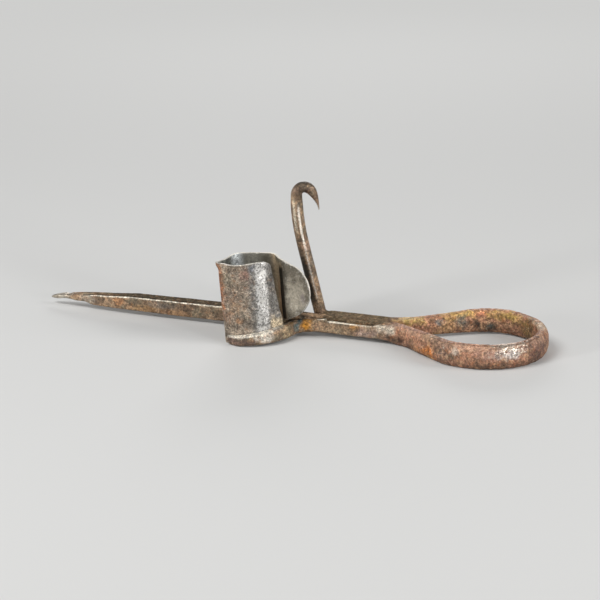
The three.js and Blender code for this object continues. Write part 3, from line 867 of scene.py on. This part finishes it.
# Painted highlights on the strap's ledge and on the handle's bow, which is rubbed there too, painted shade
# low on the handle, and the handle's front, the bow's end and the strap darker
on_ledge = on_strap * ease(z, 2.4, 3.4) * ease(upward, 0.3, 0.8) * (1 - ease(x, 12, 18))
rub = rub * (1 - 0.7 * np.maximum(edge_highlight, on_ledge))
rub += 0.45 * (1 - ease(np.hypot(x - 110, y + 14.5), 3, 11)) * ease(z, 3, 5)
colour = tinted(colour, (238, 230, 214), 0.85 * on_ledge)
colour = tinted(colour, colour * 0.72, on_handle * (1 - ease(z, 1.5, 5)))
colour = tinted(colour, colour * 0.87, on_handle * (1 - ease(y, 2, 8)))
colour = tinted(colour, colour * 0.82, ease(x, 90, 108))
colour = tinted(colour, colour * 0.87, on_strap * (1 - on_ledge))
rust = 0.3 + 0.2 * on_handle + 0.25 * noises(points, 8, 14, 2)
matt = top * (1 - on_ledge) * (1 - edge_highlight) * ease(x, -86, -76) * (1 - on_hook * hook_up)
shine = 0.35 * (1 - on_handle) * (1 - on_hook * hook_up)
dress(solid, points, normals, colour, np.clip(rub * (1 - matt), 0, 1), rust, matt, edges, 0.6, shine)

# Its four pieces
forged = iron("forged_iron", (164, 100, 54), BARE, grain=1.1, rough=0.54, gloss=0.62, metal=0.3,
              pits=0.65, mottle=1.1)
hook_iron = iron("hook_iron", (150, 100, 66), BARE, grain=0.9, rough=0.46, gloss=0.6, metal=0.45,
                 pits=0.75, mottle=1.1)
solid.shade_smooth()
whole = bmesh.new()
whole.from_mesh(solid)
CUT_AWAY = 0.22
WELD_X = HANDLE_X - SEAT_GAP / 2
WELD_Y = BAR_WIDTH / 2 + CUT_AWAY
BRAZE_Y = -BAR_WIDTH / 2 - CUT_AWAY
part = whole.copy()
keep_side(part, (WELD_X, 0, 0), (1, 0, 0), True)
make_piece("forged_handle", part, forged, "holder", "handle_loop")
keep_side(whole, (WELD_X, 0, 0), (1, 0, 0), False)
part = whole.copy()
keep_side(part, (0, WELD_Y, 0), (0, 1, 0), True)
make_piece("forged_hook", part, hook_iron, "holder", "hook")
part = whole.copy()
keep_side(part, (0, BRAZE_Y, 0), (0, 1, 0), False)
make_piece("brazed_strap", part, forged, "holder", "socket_ring")
keep_side(whole, (0, WELD_Y, 0), (0, 1, 0), False)
keep_side(whole, (0, BRAZE_Y, 0), (0, 1, 0), True)
make_piece("forged_shank", whole, forged, "holder", "spike_shank")

# Plan of the sheet, from its free edge at the front, round the socket, to the tip of the leaf
runs = [
    (FRONT_CURVE, 90 - EDGE_START), (SOCKET_WIDTH - FRONT_CURVE - FRONT_CORNER,), (FRONT_CORNER, 90),
    (SOCKET_DEPTH - FRONT_CORNER - BACK_CORNER,), (BACK_CORNER, 90), (LEAF_BACK,), (BEND_RADIUS, BACK_BEND),
    (NECK_RUN,), (CREASE_RADIUS, TAB_TILT - BACK_BEND), (TAB_REACH,),
]
ends = np.cumsum([m[0] if len(m) == 1 else m[0] * math.radians(abs(m[1])) for m in runs])
FRONT_END = ends[1]
SLIT = ends[3] + BACK_CORNER * math.radians(SLIT_ANGLE)
BACK_END = ends[5]
CREASE = ends[8]
start = math.radians(EDGE_START)
start_x, start_y = ROUND_X + FRONT_CURVE * math.cos(start), ROUND_Y + FRONT_CURVE * math.sin(start)
plan = bent(start_x, start_y, EDGE_START + 90, runs, 0.3)


def plan_at(s):
    return [np.interp(s, plan[:, 3], plan[:, i]) for i in range(3)]


def tangent(s, z, centre_s, centre_z, radius, side):
    """Where the line from a point touches a circle, above it or below it."""
    towards = math.atan2(z - centre_z, s - centre_s)
    angle = towards - side * math.acos(radius / math.hypot(z - centre_z, s - centre_s))
    return centre_s + radius * math.cos(angle), centre_z + radius * math.sin(angle)


def along(degrees):
    """Distance along the plan of a place on its round front."""
    return FRONT_CURVE * math.radians(degrees - EDGE_START)


MIDDLE = CREASE + TAB_CENTRE
BACK_TOP = SOCKET_HEIGHT + BACK_RISE
LOW_BAND_TOP = LEAF_FOOT - 0.7
SHOULDER = tangent(CREASE, TAB_SHOULDER, MIDDLE, TAB_HEIGHT, TAB_RADIUS, 1)
HEEL = tangent(CREASE, TAB_CORNER, MIDDLE, TAB_HEIGHT, TAB_RADIUS, -1)

# The lip, as distances along the plan and heights
LIP = [
    (3.2, 29.6), (3.7, 30.6), (4.5, 31.3), (5.5, 31.75), (6.6, 32.0), (8.0, 32.2), (10.0, 32.25),
    (13.0, 32.05), (16.5, 31.8), (18.5, 31.8), (20.5, 32.1), (22.5, 32.6), (24.5, 32.95), (27.0, 32.7),
    (31.0, 32.4), (36.0, 32.1), (SLIT, SOCKET_HEIGHT),
]


def unrolled(points, facing_way):
    """Distance of each point along the plan, and how far its normal faces out of the band, -1 to 1."""
    at_once = 4000
    run, facing = np.empty(len(points)), np.empty(len(points))
    for first in range(0, len(points), at_once):
        part = slice(first, first + at_once)
        gap = points[part, None, :2] - plan[None, :, :2]
        nearest = (gap ** 2).sum(2).argmin(1)
        heading = plan[nearest, 2]
        run[part] = plan[nearest, 3]
        facing[part] = facing_way[part, 0] * np.sin(heading) - facing_way[part, 1] * np.cos(heading)
    return run, facing


def nicks(s):
    """Small wear along an upper edge."""
    return 0.07 * wave(s, 2.2, 22) + 0.05 * wave(s, 0.9, 23)


def smooth_line(s, places, heights, reach):
    """A line through points, its corners rounded over a reach."""
    return np.mean([np.interp(s + d, places, heights) for d in np.linspace(-reach, reach, 9)])


def fixed_top(s):
    """Heights of the band's lip, which dips in the middle of the front and rises at its corner."""
    if s < along(EDGE_TOP):
        places = [0, along(EDGE_NOTCH), along(EDGE_TOP)]
        return np.interp(s, places, [RING_TOP + SWING_GAP, CORNER_HEIGHT, LIP[0][1]])
    return smooth_line(s, *zip(*LIP), reach=0.9) + nicks(s)


def leaf_top(s):
    """Level behind the candle, a step down round the bend, a slope to the round."""
    if s > SHOULDER[0]:
        return TAB_HEIGHT + math.sqrt(max(0, TAB_RADIUS ** 2 - (s - MIDDLE) ** 2)) + nicks(s)
    places = [SLIT, BACK_END, BACK_END + 3, CREASE - 0.6, SHOULDER[0], SHOULDER[0] + 1]
    heights = [SOCKET_HEIGHT, BACK_TOP, TAB_SHOULDER, TAB_SHOULDER, SHOULDER[1], SHOULDER[1] - 0.7]
    return smooth_line(s, places, heights, reach=0.8) + nicks(s)


def leaf_foot(s):
    if s > HEEL[0]:
        return TAB_HEIGHT - math.sqrt(max(0, TAB_RADIUS ** 2 - (s - MIDDLE) ** 2))
    return np.interp(s, [BACK_END, CREASE, HEEL[0]], [LEAF_FOOT, TAB_CORNER, HEEL[1]])


def swell(s, z):
    """How far the sheet stands out of its plan: old dents, the flared lip and the thumb's dish."""
    out = 0.16 * noise.noise(Vector((s / 7, z / 9, 4.0)))
    out += 0.07 * noise.noise(Vector((s / 2.6, z / 3.2, 9.0)))
    out += LIP_FLARE * bell(s - FRONT_END, 2.6, 2.6) * ease(z, 29.6, 32.2)
    if s > CREASE:
        away = math.hypot(s - CREASE - DISH_OFFSET, z - TAB_HEIGHT + DISH_DROP) / DISH_RADIUS
        out += DISH_DEPTH * (1 - ease(away, 0.3, 1)) * ease(s, CREASE, CREASE + 4)
    return out


def standing(stops, foot, top, rows):
    """A strip of sheet on the plan, with a lump of braze at the foot of its free edge."""
    rings = []
    for s in stops:
        x, y, h = plan_at(s)
        ring = []
        for face in (1, -1):
            for row in range(rows + 1):
                z = mix(foot(s), top(s), (row if face > 0 else rows - row) / rows)
                out = face * SHEET / 2 + swell(s, z)
                if face > 0 and s < along(EDGE_TOP):
                    out += (1 - ease(math.hypot((s - 1.2) / 3.4, (z - 7.0) / 4.2), 0.3, 1)) * BRAZE_LUMP
                ring.append((x + out * math.sin(h), y - out * math.cos(h), z))
        rings.append(ring)
    return skin(rings)


# The sheet: three strips fused, then dented and pitted
edge_end = along(EDGE_TOP)
overlap = 0.4
band_stops = np.concatenate([np.arange(0, edge_end + 0.1, 0.12), np.arange(edge_end + 0.4, SLIT, 0.3)])
low_band_stops = np.arange(SLIT - overlap, BACK_END, 0.4)
leaf_stops = np.concatenate([
    np.arange(SLIT - overlap, CREASE, 0.3),
    CREASE + TAB_REACH * np.sin(np.linspace(0, math.pi / 2, 60)),
])
sheet, points, edges = fuse("sheet", [
    standing(band_stops, lambda s: SHEET_FOOT, fixed_top, 60),
    standing(low_band_stops, lambda s: SHEET_FOOT, lambda s: LOW_BAND_TOP, 16),
    standing(leaf_stops, leaf_foot, leaf_top, 48),
], SHEET_VOXEL)
points = taubin(points, edges, 2)
points = mix(points, spread_over(points, edges, 2), 0.5)
flat_points = points.copy()
flat_normals = fresh_normals(sheet, flat_points)
depth = 0.022 * (noises(points, 1.3, 41, 4) + noises(points, 4.2, 42, 3))
depth -= 0.07 * np.clip(noises(points, 1.5, 43, 2) - 0.3, 0, 1)
points = points + flat_normals * depth[:, None]

# Into the bar's frame, which mirrors the plan, so the faces turn over
world = np.clip(lean(points), BOX_LOW, BOX_HIGH)
sheet.flip_normals()
normals = fresh_normals(sheet, world)

# Which part of the band each place belongs to
run, facing = unrolled(flat_points, flat_normals)
inside = ease(-facing, -0.2, 0.2)
outside = 1 - inside
height = flat_points[:, 2]
tab_way = np.array([math.cos(plan[-1, 2]), math.sin(plan[-1, 2]), 0.0])
on_tab = ease(run, CREASE - 0.5, CREASE + 1)
# rim marks the sheet's upper edges, which get a painted highlight
rim = np.maximum(ease(flat_normals[:, 2], 0.35, 0.7), on_tab * ease(flat_normals @ tab_way, 0.35, 0.7))
rim *= 1 - 0.55 * ease(run, 20, 23) * (1 - ease(run, 28, 33))
rim *= ease(height, 8, 14) * (1 - 0.7 * on_tab * (1 - ease(height, 14, 20)))

# Broad colours outside and inside
broad = noises(world, 5, 51, 4)
colour = tinted(GREY, (140, 127, 111), ease(run, 11.5, 15))
colour = tinted(colour, (94, 79, 63), 0.6 * ease(broad, 0.0, 0.45) * ease(run, 12, 14))
# Inside, the back wall darkens towards its right end; its end, which lies in shadow, gets painted light
back_shade = tinted((124, 121, 110), (98, 93, 80), ease(run, 49, 54))
back_shade = tinted(back_shade, (168, 148, 120), ease(run, 55, 58))
inner = tinted((112, 113, 106), back_shade, ease(run, 40, 44))
# Painted highlight inside the socket's back left corner
inner = tinted(inner, (200, 204, 204), 0.9 * ease(run, 34.5, 38) * (1 - ease(run, 41, 45.5)))
# Painted light on the neck, which lies in the front sheet's shadow; darker near its top
neck_painted_light = tinted((176, 142, 108), (164, 144, 116), ease(height, 16, 27))
neck_painted_light = tinted(neck_painted_light, (104, 97, 80), ease(height, 28, 30.5))
inner = tinted(inner, neck_painted_light, ease(run, 58.2, 59.4))
inner = tinted(inner, (99, 92, 79), on_tab)
colour = tinted(colour, inner, inside)
colour = stained(np.column_stack([run, 3 * facing, height]), colour, SHEET_SPOTS)

# Painted shadow in the crease, the light and dark scabs, a painted highlight band down the front, rubbed bare
# there too, and a painted highlight along the rim
crease_shadow_middle, crease_shadow_reach = mix(63.3, 63.7, ease(height, 8, 26)), mix(1.5, 1.0, ease(height, 8, 26))
crease_shadow = 1 - ease(np.abs(run - crease_shadow_middle) / crease_shadow_reach, 0.55, 1.0)
crease_shadow *= inside * ease(height, 5, 7) * (1 - ease(height, 26.8, 29.6))
colour = tinted(colour, (14, 12, 7), 0.95 * crease_shadow)
light = ease(noises(world, 1.6, 73, 3), 0.12, 0.45) * 0.28 * outside
colour = tinted(colour, (186, 174, 156), light)
scabs = ease(noises(world, 2.0, 74, 4), 0.12, 0.5) * 0.5 * outside * ease(run, 9, 13)
colour = tinted(colour, (78, 68, 58), scabs)
# Painted highlight: a band down the round front is painted lighter and rubbed bare, where a lamp is reflected
band_middle = 7.8 + 0.9 * (30 - height) / 24
band = 1 - ease(np.abs(run - band_middle + 0.7 * noises(world, 3, 53, 3)), 1.3, 3.3)
band *= outside
colour = tinted(colour, BRIGHT, 0.5 * band)
colour = tinted(colour, (240, 234, 220), 0.9 * rim)
rub = 0.27 + 0.26 * noises(world, 3, 52, 3) + 0.65 * band
rub = mix(rub, 0.2 + 0.1 * noises(world, 2, 55, 2) + 0.25 * on_tab, inside)
rub = mix(rub, 0.35, 0.7 * rim) * (1 - crease_shadow)
rust = 0.2 + 0.25 * ease(run, 12, 16) + 0.2 * noises(world, 6, 54, 2) - 0.5 * inside - 0.5 * band
dress(sheet, world, normals, colour, np.clip(rub, 0, 1), rust, 0.6 * crease_shadow, edges, 0.5, 1.0)

# Its two pieces, cut apart above the low band, where the sheet bends as a spring
steel = iron("sheet_steel", (148, 100, 66), BRIGHT, grain=0.85, rough=0.52, gloss=0.7, metal=0.35,
             pits=0.8, mottle=1.2)
leaf_steel = iron("leaf_steel", (148, 100, 66), BRIGHT, grain=0.85, rough=0.56, gloss=0.9, metal=0.2,
                  pits=0.25, mottle=0.4)
sheet.shade_smooth()
whole = bmesh.new()
whole.from_mesh(sheet)
cut_x, cut_y, cut_heading = plan_at(SLIT + 0.05)
cut_point = lean(np.array([cut_x, cut_y, 0.0])) * MM
cut_normal = lean(np.array([math.cos(cut_heading), math.sin(cut_heading), 0.0])) - lean(np.zeros(3))
chosen = [f for f in whole.faces if all(height[v.index] > LOW_BAND_TOP + 0.3 for v in f.verts)]
geometry = set(chosen)
for f in chosen:
    geometry.update(f.edges)
    geometry.update(f.verts)
made = bmesh.ops.bisect_plane(whole, geom=list(geometry), plane_co=Vector(cut_point),
                              plane_no=Vector(cut_normal))
SOCKET_MIDDLE_Y = -12  # the plane meets the socket's front too, and the seam is at its back
seam = [e for e in made["geom_cut"] if isinstance(e, bmesh.types.BMEdge)]
seam = [e for e in seam if e.verts[0].co.y / MM > SOCKET_MIDDLE_Y]
bmesh.ops.split_edges(whole, edges=seam)
whole.verts.ensure_lookup_table()
leaf_tip = max(whole.verts, key=lambda v: v.co.x)
reached, queue = {leaf_tip}, [leaf_tip]
while queue:
    for e in queue.pop().link_edges:
        for v in e.verts:
            if v not in reached:
                reached.add(v)
                queue.append(v)
of_leaf = [f.verts[0] in reached for f in whole.faces]
leaf = whole.copy()
bmesh.ops.delete(leaf, geom=[f for f, t in zip(leaf.faces, of_leaf) if not t], context="FACES")
bmesh.ops.delete(whole, geom=[f for f, t in zip(whole.faces, of_leaf) if t], context="FACES")
make_piece("sheet_socket", whole, steel, "holder", "candle_socket")
make_piece("thumb_leaf", leaf, leaf_steel, "leaf", "thumb_lever")

# Floor of pale paper
FLOOR_REACH = 20
corners = [(x * FLOOR_REACH, y * FLOOR_REACH, 0) for x, y in ((-1, -1), (1, -1), (1, 1), (-1, 1))]
floor_mesh = bpy.data.meshes.new("floor")
floor_mesh.from_pydata(corners, [], [(0, 1, 2, 3)])
paper = bpy.data.materials.new("paper")
paper.use_nodes = True
tree = paper.node_tree
principled = tree.nodes["Principled BSDF"]
principled.inputs["Base Color"].default_value = (0.66, 0.66, 0.65, 1)
principled.inputs["Roughness"].default_value = 0.9

# Where the lamps leave the floor dark or glaring, far from the object, a seen floor has one plain tone
place = add_node(tree, "ShaderNodeTexCoord", {}).outputs["Object"]
distance = add_node(tree, "ShaderNodeVectorMath", {0: place}, operation="LENGTH").outputs["Value"]
far = add_node(tree, "ShaderNodeMapRange", {"Value": distance, "From Min": 0.2, "From Max": 0.75},
               interpolation_type="SMOOTHSTEP").outputs["Result"]
ray = add_node(tree, "ShaderNodeLightPath", {}).outputs
rays = {0: ray["Is Camera Ray"], 1: ray["Is Glossy Ray"]}
seen = add_node(tree, "ShaderNodeMath", rays, operation="MAXIMUM").outputs[0]
share = add_node(tree, "ShaderNodeMath", {0: seen, 1: far}, operation="MULTIPLY").outputs[0]
plain = add_node(tree, "ShaderNodeEmission", {"Color": (0.62, 0.62, 0.61, 1)}).outputs["Emission"]
blend = add_node(tree, "ShaderNodeMixShader", {0: share, 1: principled.outputs["BSDF"], 2: plain})
tree.links.new(blend.outputs["Shader"], tree.nodes["Material Output"].inputs["Surface"])
floor_mesh.materials.append(paper)
placed("floor", floor_mesh)


# Light
def towards(azimuth, elevation):
    """Direction in degrees: azimuth 0 is in front and 90 to the right."""
    a, e = math.radians(azimuth), math.radians(elevation)
    return Vector((math.sin(a) * math.cos(e), -math.cos(a) * math.cos(e), math.sin(e)))


def lamp(name, azimuth, elevation, size, power):
    """A soft lamp 1 m away, aimed at the origin, under the middle of the object."""
    back = towards(azimuth, elevation)
    data = bpy.data.lights.new(name, "AREA")
    data.shape = "RECTANGLE"
    data.size, data.size_y = size
    data.energy = power
    obj = placed(name, data)
    obj.location = back
    obj.rotation_mode = "QUATERNION"
    obj.rotation_quaternion = (-back).to_track_quat("-Z", "Y")


lamp("top", -40, 58, (0.5, 0.5), 5.5)
lamp("strip", 65, 9, (0.16, 0.3), 5.2)
lamp("side", -33, 10, (0.14, 0.3), 4.0)
lamp("rim", 98, 30, (0.3, 0.4), 3.0)
lamp("back", 198, 20, (0.6, 0.25), 3.0)
sky = bpy.data.worlds.new("studio")
sky.use_nodes = True
background = sky.node_tree.nodes["Background"].inputs
background["Color"].default_value = (1, 1, 1, 1)
background["Strength"].default_value = 0.16
bpy.context.scene.world = sky

# Camera
CAMERA_AZIMUTH = 22.5
CAMERA_ELEVATION = 18.3
CAMERA_ROLL = math.radians(1.1)
CAMERA_PLACE = np.array([306.06, -694.6, 261.79])
back = towards(CAMERA_AZIMUTH, CAMERA_ELEVATION)
level = towards(CAMERA_AZIMUTH + 90, 0)
upright = back.cross(level)
right = level * math.cos(CAMERA_ROLL) - upright * math.sin(CAMERA_ROLL)
up = level * math.sin(CAMERA_ROLL) + upright * math.cos(CAMERA_ROLL)
camera_data = bpy.data.cameras.new("camera")
camera_data.lens = 120
camera_data.sensor_width = 36
camera_data.clip_start = 0.05
camera_data.clip_end = 20
camera = placed("camera", camera_data)
turned = Matrix((right, up, back)).transposed().to_4x4()
camera.matrix_world = Matrix.Translation(Vector((CAMERA_PLACE + SHIFT) * MM)) @ turned
bpy.context.scene.camera = camera
bpy.context.scene.view_settings.view_transform = "Standard"

bpy.context.view_layer.update()
